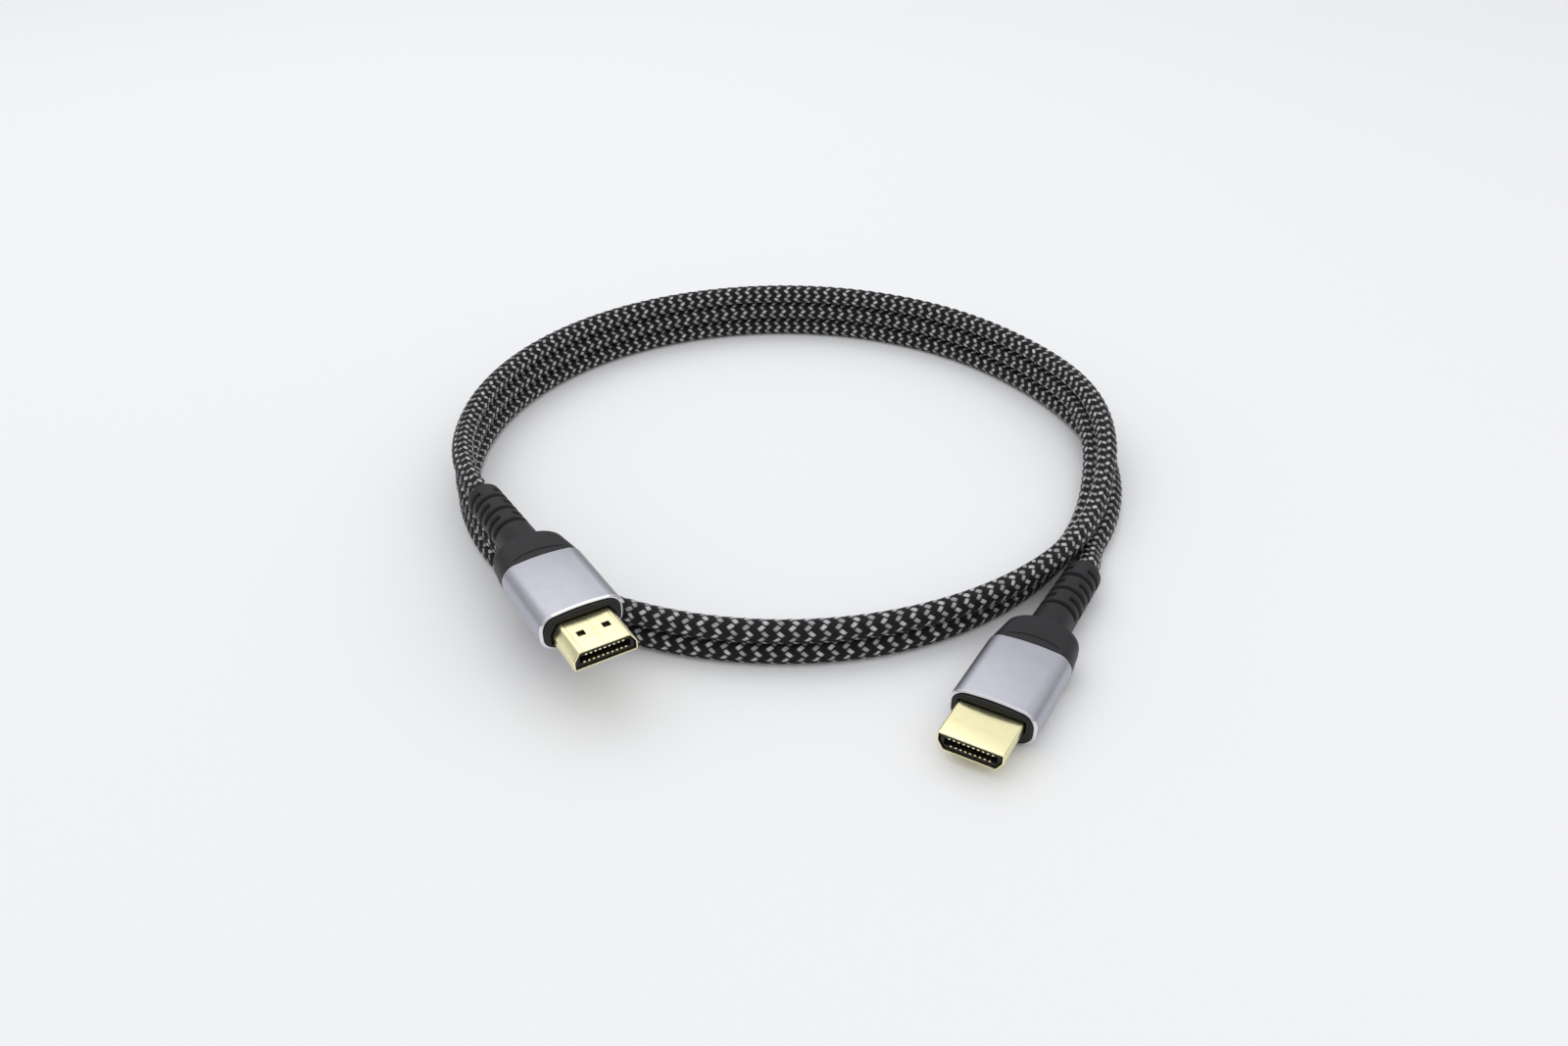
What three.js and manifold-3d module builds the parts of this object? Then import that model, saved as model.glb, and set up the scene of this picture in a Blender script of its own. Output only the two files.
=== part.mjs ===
// A braided audio and video cable, wound in a level coil of nearly three turns, with a flat
// nineteen-contact plug at each end. Millimetres, +Z up, the floor at Z 0. +X is right and +Y is back.
import * as THREE from 'three';
import { mergeVertices } from 'three/addons/utils/BufferGeometryUtils.js';
import Module from 'manifold-3d';

const wasm = await Module();
wasm.setup();

// Cable: a round section, drawn with twelve sides, flat side down
const CABLE_DIAMETER = 5.4;
const CABLE_SIDES = 12;
const TURN_GAP = 0.22;
const SEAT_GAP = 0.3;

// Coil: radius of its turns, and how it is divided, in degrees round from +X. At the right front the
// second turn comes down beside the first, under the third, and rolls over the first.
const COIL_RADIUS = 83;
const COIL_STEP = 10;
const FINE_STEP = 5;
const COIL_START = -30;
const COIL_END = 900;
const PAIR_START = -80;
const CROSSING_START = -30;
const CROSSING_END = 26;
const SETTLE_START = -8;
const SETTLE_END = 40;
const FIRST_TURN_OUT = 3.1;
const DIAGONAL_EXTRA = 0.15;
const THIRD_TURN_LEAN = 30;

// Where each strain relief ends: degrees round the coil and distance outside its radius. The heading
// is where the plug's nose points.
const RIGHT_END = { bearing: -39.9, outward: 6.95, heading: -120.1 };
const LEFT_END = { bearing: 210.98, outward: -0.5, heading: -57.8 };

// Leads between the coil and the connectors: degrees round, distance outside the coil's radius,
// and height over the lowest turn on the right, or over the top turn on the left
const LEAD_STRAIGHT = 2;
const RIGHT_LEAD = [
  [-36, 5.3, 1.3],
];
const LEFT_LEAD = [
  [191, 0, 0.7],
  [202, -0.2, 1.9],
];

// Metal shell of the plug: a D-shaped section with two chamfers
const SHELL_WIDTH = 13.9;
const SHELL_HEIGHT = 4.45;
const SHELL_SIDE_HEIGHT = 2.3;
const SHELL_NARROW_WIDTH = 11.2;
const SHELL_WALL = 0.4;
const SHELL_LENGTH = 10.4;
const SHELL_ROOT = 4;

// Key recess in the narrow face of the shell, with its two latch windows
const WINDOW_SIDE = 1.7;
const WINDOW_SPACING = 5.5;
const WINDOW_FROM_TIP = 5.4;

// Insulator with its slot, and the contacts in two staggered rows
const SLOT_WIDTH = 11;
const SLOT_HEIGHT = 1.7;
const SLOT_DEPTH = 7;
const BLOCK_RECESS = 0.4;
const BLOCK_REAR_GAP = 1;
const CONTACT_PITCH = 1;
const CONTACT_ROWS = [10, 9];
const CONTACT_WIDTH = 0.45;
const CONTACT_THICKNESS = 0.3;
const CONTACT_LENGTH = 5.5;
const CONTACT_RECESS = 0.45;
const CONTACT_GAP = 0.05;

// Aluminium sleeve: a crowned, rounded rectangle. The corner is a share of the height.
const SLEEVE_WIDTH = 18.6;
const SLEEVE_HEIGHT = 9.6;
const CORNER_SHARE = 0.385;
const CORNER_LIMIT = 0.95;
const SLEEVE_CROWN = 0.35;
const SLEEVE_WALL = 0.7;
const SLEEVE_LENGTH = 20.3;
const RIM_CHAMFER = 0.4;

// Front bezel of the inner moulding
const BEZEL_PROUD = 0.6;
const BEZEL_INSET = 0.55;
const BEZEL_CHAMFER = 0.25;
const BEZEL_SEAT = 1.2;

// Strain relief: cap, neck and slotted end
const CAP_LENGTH = 9.2;
const CAP_INSET = 0.15;
const CAP_SHOULDER_RADIUS = 2.6;
const CAP_REAR_WIDTH = 16.6;
const CAP_REAR_HEIGHT = 9.2;
const CAP_PLUG_DEPTH = 2.5;
const NECK_FILLET = 1;
const NECK_DIAMETER = 9.2;
const NECK_LENGTH = 7.2;
const NECK_SINK = 0.2;
const RELIEF_END_DIAMETER = 8.3;
const RELIEF_LENGTH = 19;
const RELIEF_END_ROUND = 1.4;
const RIB_PITCH = 3;
const RIB_COUNT = 6;
const GROOVE_WIDTH = 1;
const GROOVE_DEPTH = 0.9;
const BRIDGE_WIDTH = 3.2;
const SIDE_BRIDGE_WIDTH = 1.6;
const SOCKET_DEPTH = 5;
const STEP_LINE_WIDTH = 0.35;
const STEP_LINE_DEPTH = 0.35;
const STEP_LINE_RADIUS = 16;
const STEP_LINE_FROM_SLEEVE = 2.4;
const STEP_LINE_SPAN = 12;

// How far a cutting solid reaches past what it cuts
const CUT_OVERRUN = 1;

const material = {
  braid: new THREE.MeshStandardMaterial({ color: 0x2a2a2c, roughness: 0.85, metalness: 0 }),
  gold: new THREE.MeshStandardMaterial({ color: 0xe9df9c, roughness: 0.3, metalness: 1 }),
  aluminium: new THREE.MeshStandardMaterial({ color: 0x9d9ca6, roughness: 0.4, metalness: 1 }),
  black: new THREE.MeshStandardMaterial({ color: 0x262628, roughness: 0.6, metalness: 0 }),
};

// Solids: closed meshes in and out of the boolean library
function solid(geometry) {
  const bare = geometry.clone();
  bare.deleteAttribute('normal');
  bare.deleteAttribute('uv');
  const merged = mergeVertices(bare, 1e-4);
  const index = merged.index.array;
  const mesh = new wasm.Mesh({
    numProp: 3,
    vertProperties: new Float32Array(merged.attributes.position.array),
    triVerts: new Uint32Array(index),
  });
  return new wasm.Manifold(mesh);
}

function geometryOf(manifold) {
  const mesh = manifold.getMesh();
  const geometry = new THREE.BufferGeometry();
  geometry.setAttribute('position', new THREE.BufferAttribute(mesh.vertProperties, 3));
  geometry.setIndex(new THREE.BufferAttribute(mesh.triVerts, 1));
  geometry.computeVertexNormals();
  return geometry;
}

// Every connector is drawn with its tip at X 0 and its body behind it, along -X. Y is across it and
// Z is up through it, with the shell's wide face on top.
function prismAlongX(outline, front, rear, curveSegments = 6) {
  const geometry = new THREE.ExtrudeGeometry(outline, {
    depth: front - rear, bevelEnabled: false, curveSegments,
  });
  geometry.applyMatrix4(new THREE.Matrix4().makeBasis(
    new THREE.Vector3(0, 1, 0), new THREE.Vector3(0, 0, 1), new THREE.Vector3(1, 0, 0)));
  geometry.translate(rear, 0, 0);
  return geometry;
}

function prismAlongZ(outline, low, high, curveSegments = 6) {
  const geometry = new THREE.ExtrudeGeometry(outline, {
    depth: high - low, bevelEnabled: false, curveSegments,
  });
  geometry.translate(0, 0, low);
  return geometry;
}

function prismAlongY(outline, halfWidth, curveSegments = 6) {
  const geometry = new THREE.ExtrudeGeometry(outline, {
    depth: 2 * halfWidth, bevelEnabled: false, curveSegments,
  });
  geometry.rotateX(Math.PI / 2);
  geometry.translate(0, halfWidth, 0);
  return geometry;
}

function box(front, rear, width, low, high, y = 0) {
  const geometry = new THREE.BoxGeometry(front - rear, width, high - low);
  geometry.translate((front + rear) / 2, y, (low + high) / 2);
  return geometry;
}

// Turned about the X axis. The profile lists [x, radius] from the front to the rear.
function turned(profile, segments = 24) {
  const points = profile.map(([x, radius]) => new THREE.Vector2(radius, x));
  const geometry = new THREE.LatheGeometry(points.reverse(), segments);
  geometry.rotateZ(-Math.PI / 2);
  return geometry;
}

// The shell's D-shaped outline, wide face up, taken in by an inset all round
function shellOutline(inset) {
  const half = SHELL_WIDTH / 2 - inset;
  const top = SHELL_HEIGHT / 2 - inset;
  const chamferRun = (SHELL_WIDTH - SHELL_NARROW_WIDTH) / 2;
  const chamferRise = SHELL_HEIGHT - SHELL_SIDE_HEIGHT;
  const chamferLength = Math.hypot(chamferRun, chamferRise);
  const sideCut = inset * (chamferLength - chamferRise) / chamferRun;
  const faceCut = inset * (chamferLength - chamferRun) / chamferRise;
  const shape = new THREE.Shape();
  shape.moveTo(-half, top);
  shape.lineTo(-half, -SHELL_HEIGHT / 2 + chamferRise + sideCut);
  shape.lineTo(-SHELL_NARROW_WIDTH / 2 + faceCut, -top);
  shape.lineTo(SHELL_NARROW_WIDTH / 2 - faceCut, -top);
  shape.lineTo(half, -SHELL_HEIGHT / 2 + chamferRise + sideCut);
  shape.lineTo(half, top);
  shape.closePath();
  return shape;
}

// A rounded rectangle whose flat faces are crowned by a shallow curve. The corner is limited by the
// height of the sides.
function roundedOutline(width, height, fullCorner, crown) {
  const half = width / 2;
  const shoulder = height / 2 - crown;
  const corner = Math.min(fullCorner, CORNER_LIMIT * shoulder);
  const shape = new THREE.Shape();
  shape.moveTo(half, -shoulder + corner);
  shape.lineTo(half, shoulder - corner);
  shape.absarc(half - corner, shoulder - corner, corner, 0, Math.PI / 2, false);
  shape.quadraticCurveTo(0, shoulder + 2 * crown, -half + corner, shoulder);
  shape.absarc(-half + corner, shoulder - corner, corner, Math.PI / 2, Math.PI, false);
  shape.lineTo(-half, -shoulder + corner);
  shape.absarc(-half + corner, -shoulder + corner, corner, Math.PI, 1.5 * Math.PI, false);
  shape.quadraticCurveTo(0, -shoulder - 2 * crown, half - corner, -shoulder);
  shape.absarc(half - corner, -shoulder + corner, corner, 1.5 * Math.PI, 2 * Math.PI, false);
  return shape;
}

function sleeveOutline(inset) {
  const width = SLEEVE_WIDTH - 2 * inset;
  const corner = CORNER_SHARE * SLEEVE_HEIGHT - inset;
  return roundedOutline(width, SLEEVE_HEIGHT - 2 * inset, corner, SLEEVE_CROWN);
}

// Stations along a connector, from the tip back
const BEZEL_FRONT = -SHELL_LENGTH;
const SLEEVE_FRONT = BEZEL_FRONT - BEZEL_PROUD;
const SLEEVE_REAR = SLEEVE_FRONT - SLEEVE_LENGTH;
const CAP_FRONT = SLEEVE_REAR - SEAT_GAP;
const CAP_REAR = CAP_FRONT - CAP_LENGTH;
const NECK_REAR = CAP_REAR - NECK_LENGTH;
const RELIEF_END = NECK_REAR - RELIEF_LENGTH;
const SOCKET_BOTTOM = RELIEF_END + SOCKET_DEPTH;
const SHELL_REAR = BEZEL_FRONT - SHELL_ROOT;

function plugShell() {
  const outer = solid(prismAlongX(shellOutline(0), 0, SHELL_REAR));
  const inner = solid(prismAlongX(shellOutline(SHELL_WALL), CUT_OVERRUN, SHELL_REAR - CUT_OVERRUN));
  let shell = outer.subtract(inner);
  const windowRear = -WINDOW_FROM_TIP - WINDOW_SIDE / 2;
  const windowFront = windowRear + WINDOW_SIDE;
  for (const side of [-1, 1]) {
    const y = side * WINDOW_SPACING / 2;
    const low = -SHELL_HEIGHT / 2 - CUT_OVERRUN;
    const high = -SHELL_HEIGHT / 2 + CUT_OVERRUN;
    shell = shell.subtract(solid(box(windowFront, windowRear, WINDOW_SIDE, low, high, y)));
  }
  return geometryOf(shell);
}

// The insulator fills the shell behind its slot and stays clear of the shell's wall
function contactBlock() {
  const outline = shellOutline(SHELL_WALL + SEAT_GAP);
  const body = solid(prismAlongX(outline, -BLOCK_RECESS, SHELL_REAR + BLOCK_REAR_GAP));
  const slotRear = -BLOCK_RECESS - SLOT_DEPTH;
  const slot = solid(box(CUT_OVERRUN, slotRear, SLOT_WIDTH, -SLOT_HEIGHT / 2, SLOT_HEIGHT / 2));
  let block = body.subtract(slot);
  for (const contact of contactPlaces()) {
    const { y, low, high } = contact;
    const width = CONTACT_WIDTH + 2 * CONTACT_GAP;
    const rear = -CONTACT_RECESS - CONTACT_LENGTH - CONTACT_GAP;
    const channel = box(CUT_OVERRUN, rear, width, low - CONTACT_GAP, high + CONTACT_GAP, y);
    block = block.subtract(solid(channel));
  }
  return geometryOf(block);
}

// Both rows of contacts lie half sunk in the slot's faces, staggered by half a pitch. Their channels
// are open at the front.
function contactPlaces() {
  const places = [];
  for (const [row, count] of CONTACT_ROWS.entries()) {
    const face = (row === 0 ? 1 : -1) * SLOT_HEIGHT / 2;
    for (let i = 0; i < count; i += 1) {
      const y = (i - (count - 1) / 2) * CONTACT_PITCH;
      places.push({ y, low: face - CONTACT_THICKNESS / 2, high: face + CONTACT_THICKNESS / 2 });
    }
  }
  return places;
}

function contactStrip({ y, low, high }) {
  return box(-CONTACT_RECESS, -CONTACT_RECESS - CONTACT_LENGTH, CONTACT_WIDTH, low, high, y);
}

function innerMoulding() {
  const coreInset = SLEEVE_WALL + SEAT_GAP;
  const coreRear = CAP_FRONT + CAP_PLUG_DEPTH + SEAT_GAP;
  const bezelRear = SLEEVE_FRONT - BEZEL_SEAT;
  const bezelCrown = { inset: BEZEL_INSET, front: BEZEL_FRONT - BEZEL_CHAMFER };
  const core = solid(prismAlongX(sleeveOutline(coreInset), bezelRear, coreRear, 4));
  const bezel = solid(prismAlongX(sleeveOutline(bezelCrown.inset + SEAT_GAP), bezelCrown.front, bezelRear));
  const lip = solid(prismAlongX(
    sleeveOutline(bezelCrown.inset + SEAT_GAP + BEZEL_CHAMFER), BEZEL_FRONT, bezelRear));
  const seat = solid(prismAlongX(shellOutline(-SEAT_GAP), 0, SHELL_REAR - SEAT_GAP));
  return geometryOf(core.add(bezel).add(lip).subtract(seat));
}

function aluminiumSleeve() {
  const outer = solid(prismAlongX(sleeveOutline(0), SLEEVE_FRONT - RIM_CHAMFER, SLEEVE_REAR));
  const rim = solid(prismAlongX(sleeveOutline(RIM_CHAMFER), SLEEVE_FRONT, SLEEVE_REAR));
  const bore = solid(prismAlongX(
    sleeveOutline(SLEEVE_WALL), SLEEVE_FRONT + CUT_OVERRUN, SLEEVE_REAR - CUT_OVERRUN));
  return geometryOf(outer.add(rim).subtract(bore));
}

// The cap seen from above: straight sides that taper, round shoulders and a fillet into the neck
function capPlan() {
  const front = SLEEVE_WIDTH / 2 - CAP_INSET;
  const rear = CAP_REAR_WIDTH / 2;
  const neck = NECK_DIAMETER / 2;
  const shape = new THREE.Shape();
  shape.moveTo(CAP_FRONT, -front);
  shape.lineTo(CAP_FRONT, front);
  shape.lineTo(CAP_REAR + CAP_SHOULDER_RADIUS, rear);
  shape.quadraticCurveTo(CAP_REAR, rear, CAP_REAR, rear - CAP_SHOULDER_RADIUS);
  shape.lineTo(CAP_REAR, neck + NECK_FILLET);
  shape.quadraticCurveTo(CAP_REAR, neck - NECK_SINK, CAP_REAR - NECK_FILLET, neck - NECK_SINK);
  shape.lineTo(CAP_REAR - NECK_FILLET, -neck + NECK_SINK);
  shape.quadraticCurveTo(CAP_REAR, -neck + NECK_SINK, CAP_REAR, -neck - NECK_FILLET);
  shape.lineTo(CAP_REAR, -rear + CAP_SHOULDER_RADIUS);
  shape.quadraticCurveTo(CAP_REAR, -rear, CAP_REAR + CAP_SHOULDER_RADIUS, -rear);
  shape.closePath();
  return shape;
}

// The cap seen from the side: it thins a little towards its round rear edge
function capSide() {
  const front = SLEEVE_HEIGHT / 2 - CAP_INSET;
  const rear = CAP_REAR_HEIGHT / 2;
  const shape = new THREE.Shape();
  shape.moveTo(CAP_FRONT, -front);
  shape.lineTo(CAP_FRONT, front);
  shape.quadraticCurveTo(CAP_REAR + CAP_SHOULDER_RADIUS, front, CAP_REAR - NECK_FILLET, rear);
  shape.lineTo(CAP_REAR - NECK_FILLET, -rear);
  shape.quadraticCurveTo(CAP_REAR + CAP_SHOULDER_RADIUS, -front, CAP_FRONT, -front);
  return shape;
}

// Neck and slotted end: one taper with a round tip
function reliefRadius(x) {
  const along = (CAP_REAR - x) / (CAP_REAR - RELIEF_END);
  return (NECK_DIAMETER + (RELIEF_END_DIAMETER - NECK_DIAMETER) * along) / 2;
}

function reliefTaper() {
  const front = CAP_REAR + CUT_OVERRUN;
  const profile = [[front, 0], [front, reliefRadius(CAP_REAR)]];
  const tipStart = RELIEF_END + RELIEF_END_ROUND;
  const tipRadius = reliefRadius(tipStart);
  profile.push([tipStart, tipRadius]);
  for (const angle of [30, 60, 90]) {
    const turn = THREE.MathUtils.degToRad(angle);
    profile.push([
      tipStart - RELIEF_END_ROUND * Math.sin(turn),
      tipRadius - RELIEF_END_ROUND * (1 - Math.cos(turn)),
    ]);
  }
  profile.push([RELIEF_END, 0]);
  return solid(turned(profile));
}

// One slot round the relief, cut through by two bridges that stay: at the sides, or at top and bottom
function reliefGroove(index) {
  const front = NECK_REAR - index * RIB_PITCH + GROOVE_WIDTH / 2;
  const rear = front - GROOVE_WIDTH;
  const floor = reliefRadius(rear) - GROOVE_DEPTH;
  const outside = NECK_DIAMETER;
  const ring = solid(turned([[front, 0], [front, outside], [rear, outside], [rear, 0]]));
  const before = front + CUT_OVERRUN;
  const behind = rear - CUT_OVERRUN;
  const core = solid(turned([[before, 0], [before, floor], [behind, floor], [behind, 0]]));
  const bridge = index % 2 === 0
    ? box(before, behind, 3 * outside, -SIDE_BRIDGE_WIDTH / 2, SIDE_BRIDGE_WIDTH / 2)
    : box(before, behind, BRIDGE_WIDTH, -2 * outside, 2 * outside);
  return ring.subtract(core).subtract(solid(bridge));
}

// A shallow curved step line across the top and bottom of the cap
function stepLine(side) {
  const crest = CAP_FRONT - STEP_LINE_FROM_SLEEVE;
  const centre = crest + STEP_LINE_RADIUS;
  const reach = Math.asin(STEP_LINE_SPAN / 2 / STEP_LINE_RADIUS);
  const shape = new THREE.Shape();
  shape.absarc(centre, 0, STEP_LINE_RADIUS, Math.PI - reach, Math.PI + reach, false);
  shape.absarc(centre, 0, STEP_LINE_RADIUS - STEP_LINE_WIDTH, Math.PI + reach, Math.PI - reach, true);
  const face = SLEEVE_HEIGHT / 2 - CAP_INSET - STEP_LINE_DEPTH;
  const outside = SLEEVE_HEIGHT / 2 + CUT_OVERRUN;
  return side > 0
    ? solid(prismAlongZ(shape, face, outside))
    : solid(prismAlongZ(shape, -outside, -face));
}

function strainRelief() {
  const section = solid(prismAlongX(sleeveOutline(CAP_INSET), CAP_FRONT, CAP_REAR - NECK_FILLET));
  const plan = solid(prismAlongZ(capPlan(), -SLEEVE_HEIGHT, SLEEVE_HEIGHT));
  const side = solid(prismAlongY(capSide(), SLEEVE_WIDTH));
  const tenon = solid(prismAlongX(
    sleeveOutline(SLEEVE_WALL + SEAT_GAP), CAP_FRONT + CAP_PLUG_DEPTH, CAP_FRONT - CUT_OVERRUN, 4));
  let relief = section.intersect(plan).intersect(side).add(tenon).add(reliefTaper());
  for (let i = 0; i < RIB_COUNT; i += 1) {
    relief = relief.subtract(reliefGroove(i));
  }
  for (const face of [-1, 1]) {
    relief = relief.subtract(stepLine(face));
  }
  const socketRadius = CABLE_DIAMETER / 2 + SEAT_GAP;
  const mouth = RELIEF_END - CUT_OVERRUN;
  const socket = solid(turned([
    [SOCKET_BOTTOM, 0], [SOCKET_BOTTOM, socketRadius], [mouth, socketRadius], [mouth, 0],
  ], 2 * CABLE_SIDES));
  return geometryOf(relief.subtract(socket));
}

function part(name, geometry, look) {
  const mesh = new THREE.Mesh(geometry, look);
  mesh.name = name;
  return mesh;
}

// One connector, drawn at the origin with its tip at X 0
function connector(side) {
  const group = new THREE.Group();
  group.add(part(`${side}_plug_shell`, plugShell(), material.gold));
  group.add(part(`${side}_contact_block`, contactBlock(), material.black));
  for (const [i, place] of contactPlaces().entries()) {
    const number = String(i + 1).padStart(2, '0');
    group.add(part(`${side}_contact_${number}`, contactStrip(place), material.gold));
  }
  group.add(part(`${side}_inner_moulding`, innerMoulding(), material.black));
  group.add(part(`${side}_aluminium_sleeve`, aluminiumSleeve(), material.aluminium));
  group.add(part(`${side}_strain_relief`, strainRelief(), material.black));
  return group;
}

// Where the two connectors lie, from the coil's centre: tip, heading of the nose, and roll
const FLAT = CABLE_DIAMETER * Math.cos(Math.PI / CABLE_SIDES);
const TURN_RISE = FLAT + TURN_GAP;
const FLOOR_LEVEL = FLAT / 2;
const SECOND_TURN_TOP = FLOOR_LEVEL + TURN_RISE + CABLE_DIAMETER / 2;
const RIGHT_PLUG = plugFrom(RIGHT_END, SLEEVE_HEIGHT / 2, 0);
const LEFT_PLUG = plugFrom(LEFT_END, SECOND_TURN_TOP + SEAT_GAP + SLEEVE_HEIGHT / 2, Math.PI);

// A level connector whose strain relief ends at a place by the coil
function plugFrom(end, height, roll) {
  const heading = THREE.MathUtils.degToRad(end.heading);
  const tip = onCoil(end.bearing, COIL_RADIUS + end.outward, height);
  tip.x -= RELIEF_END * Math.cos(heading);
  tip.y -= RELIEF_END * Math.sin(heading);
  return { tip, heading, roll };
}

function placed(plug, side) {
  const group = connector(side);
  group.rotation.set(plug.roll, 0, plug.heading, 'ZYX');
  group.position.copy(plug.tip);
  return group;
}

// A point on a connector's axis, at a distance behind its tip
function behindTip(plug, distance) {
  const x = plug.tip.x - distance * Math.cos(plug.heading);
  const y = plug.tip.y - distance * Math.sin(plug.heading);
  return new THREE.Vector3(x, y, plug.tip.z);
}

// A point of the coil: degrees round from +X, distance from the coil's centre, and height
function onCoil(degrees, radius, height) {
  const angle = THREE.MathUtils.degToRad(degrees);
  return new THREE.Vector3(radius * Math.cos(angle), radius * Math.sin(angle), height);
}

// How far a smooth change has gone, from 0 to 1, between two bearings
function eased(degrees, start, end) {
  return THREE.MathUtils.smoothstep(degrees, start, end);
}

// The place of a strand that touches another, at an angle up from the inward side
function strandOn(strand, upAngle) {
  const turn = THREE.MathUtils.degToRad(upAngle);
  const distance = TURN_RISE + DIAGONAL_EXTRA * Math.abs(Math.sin(2 * turn));
  return {
    radius: strand.radius - distance * Math.cos(turn),
    height: strand.height + distance * Math.sin(turn),
  };
}

function firstTurn(bearing) {
  const out = FIRST_TURN_OUT * (1 - eased(bearing, SETTLE_START, SETTLE_END));
  return { radius: COIL_RADIUS + out, height: FLOOR_LEVEL };
}

// Beside the first turn up to the crossing, then over it
function secondTurn(bearing) {
  if (bearing < CROSSING_START) {
    const inward = (TURN_RISE - FIRST_TURN_OUT) * eased(bearing, PAIR_START, CROSSING_START);
    return { radius: COIL_RADIUS - inward, height: FLOOR_LEVEL };
  }
  return strandOn(firstTurn(bearing), 90 * eased(bearing, CROSSING_START, CROSSING_END));
}

// On the second turn, leaning out over the first one where the two lie side by side
function thirdTurn(bearing) {
  const lean = eased(bearing, PAIR_START, CROSSING_START) - eased(bearing, SETTLE_START, CROSSING_END);
  return strandOn(secondTurn(bearing), 90 + THIRD_TURN_LEAN * lean);
}

// A station of the coil, at degrees counted on from the first turn
function coilStation(degrees) {
  const begun = Math.floor((degrees - PAIR_START) / 360);
  const place = [firstTurn, secondTurn, thirdTurn][begun](degrees - 360 * begun);
  return onCoil(degrees, place.radius, place.height);
}

// The coil's stations lie closer together where its strands cross
function coilBearings() {
  const bearings = [];
  let degrees = COIL_START;
  while (degrees <= COIL_END) {
    bearings.push(degrees);
    const bearing = THREE.MathUtils.euclideanModulo(degrees + 180, 360) - 180;
    const crossing = bearing >= CROSSING_START && bearing < CROSSING_END;
    degrees += crossing ? FINE_STEP : COIL_STEP;
  }
  return bearings;
}

// The cable's route, from the right connector's socket to the left one's
function cableRoute() {
  const stations = [
    behindTip(RIGHT_PLUG, -SOCKET_BOTTOM + SEAT_GAP),
    behindTip(RIGHT_PLUG, -RELIEF_END + LEAD_STRAIGHT),
    ...RIGHT_LEAD.map(([degrees, outward, rise]) => (
      onCoil(degrees, COIL_RADIUS + outward, FLOOR_LEVEL + rise))),
    ...coilBearings().map(coilStation),
  ];
  const topLevel = FLOOR_LEVEL + 2 * TURN_RISE;
  stations.push(
    ...LEFT_LEAD.map(([degrees, outward, rise]) => (
      onCoil(degrees, COIL_RADIUS + outward, topLevel + rise))),
    behindTip(LEFT_PLUG, -RELIEF_END + LEAD_STRAIGHT),
    behindTip(LEFT_PLUG, -SOCKET_BOTTOM + SEAT_GAP),
  );
  return stations;
}

// A path that is swept station by station, with its section kept upright
class StationPath extends THREE.Curve {
  constructor(stations) {
    super();
    this.stations = stations;
  }

  getPoint(t) {
    return this.stations[Math.round(t * (this.stations.length - 1))].clone();
  }

  getSpacedPoints(divisions) {
    return this.getPoints(divisions);
  }

  computeFrenetFrames(segments) {
    const frames = { tangents: [], normals: [], binormals: [] };
    const up = new THREE.Vector3(0, 0, 1);
    for (let i = 0; i <= segments; i += 1) {
      const before = this.stations[Math.max(i - 1, 0)];
      const here = this.stations[i];
      const after = this.stations[Math.min(i + 1, segments)];
      const ahead = after === here ? new THREE.Vector3() : after.clone().sub(here).normalize();
      const behind = before === here ? new THREE.Vector3() : here.clone().sub(before).normalize();
      const tangent = ahead.add(behind).normalize();
      const normal = up.clone().cross(tangent).normalize();
      frames.tangents.push(tangent);
      frames.normals.push(normal);
      frames.binormals.push(tangent.clone().cross(normal));
    }
    return frames;
  }
}

// The section is a twelve-sided round with a flat underneath
function cableSection() {
  const shape = new THREE.Shape();
  for (let i = 0; i < CABLE_SIDES; i += 1) {
    const angle = (i + 0.5) * 2 * Math.PI / CABLE_SIDES;
    const x = CABLE_DIAMETER / 2 * Math.cos(angle);
    const y = CABLE_DIAMETER / 2 * Math.sin(angle);
    if (i === 0) shape.moveTo(x, y);
    else shape.lineTo(x, y);
  }
  shape.closePath();
  return shape;
}

function braidedCable() {
  const stations = cableRoute();
  return new THREE.ExtrudeGeometry(cableSection(), {
    steps: stations.length - 1,
    extrudePath: new StationPath(stations),
  });
}

// The whole stands centred over the origin, with its lowest face on the floor
const cable = new THREE.Group();
cable.add(part('braided_cable', braidedCable(), material.braid));
cable.add(placed(RIGHT_PLUG, 'right'));
cable.add(placed(LEFT_PLUG, 'left'));
cable.updateMatrixWorld(true);
const bounds = new THREE.Box3().setFromObject(cable, true);
const middle = bounds.getCenter(new THREE.Vector3());
cable.position.set(-middle.x, -middle.y, -bounds.min.z);
cable.updateMatrixWorld(true);

export default cable;
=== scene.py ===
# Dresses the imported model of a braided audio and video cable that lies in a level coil.
# Drawing functions work in millimetres, and meshes are made in metres in the row frame.
import math

import bmesh
import bpy
import numpy as np
from mathutils import Matrix, Vector


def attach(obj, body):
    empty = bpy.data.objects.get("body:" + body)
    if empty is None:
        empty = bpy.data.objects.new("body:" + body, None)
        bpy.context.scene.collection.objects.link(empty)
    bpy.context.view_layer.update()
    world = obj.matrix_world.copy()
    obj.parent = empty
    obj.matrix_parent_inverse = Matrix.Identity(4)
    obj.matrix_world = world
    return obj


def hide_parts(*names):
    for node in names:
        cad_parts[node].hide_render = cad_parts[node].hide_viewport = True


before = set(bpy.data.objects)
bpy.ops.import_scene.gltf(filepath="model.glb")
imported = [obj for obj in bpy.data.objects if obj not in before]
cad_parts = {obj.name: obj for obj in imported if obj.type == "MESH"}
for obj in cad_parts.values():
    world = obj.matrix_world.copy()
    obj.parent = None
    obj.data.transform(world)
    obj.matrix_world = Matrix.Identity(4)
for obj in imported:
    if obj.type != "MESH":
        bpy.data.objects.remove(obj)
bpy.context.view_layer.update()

MM = 0.001

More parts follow.
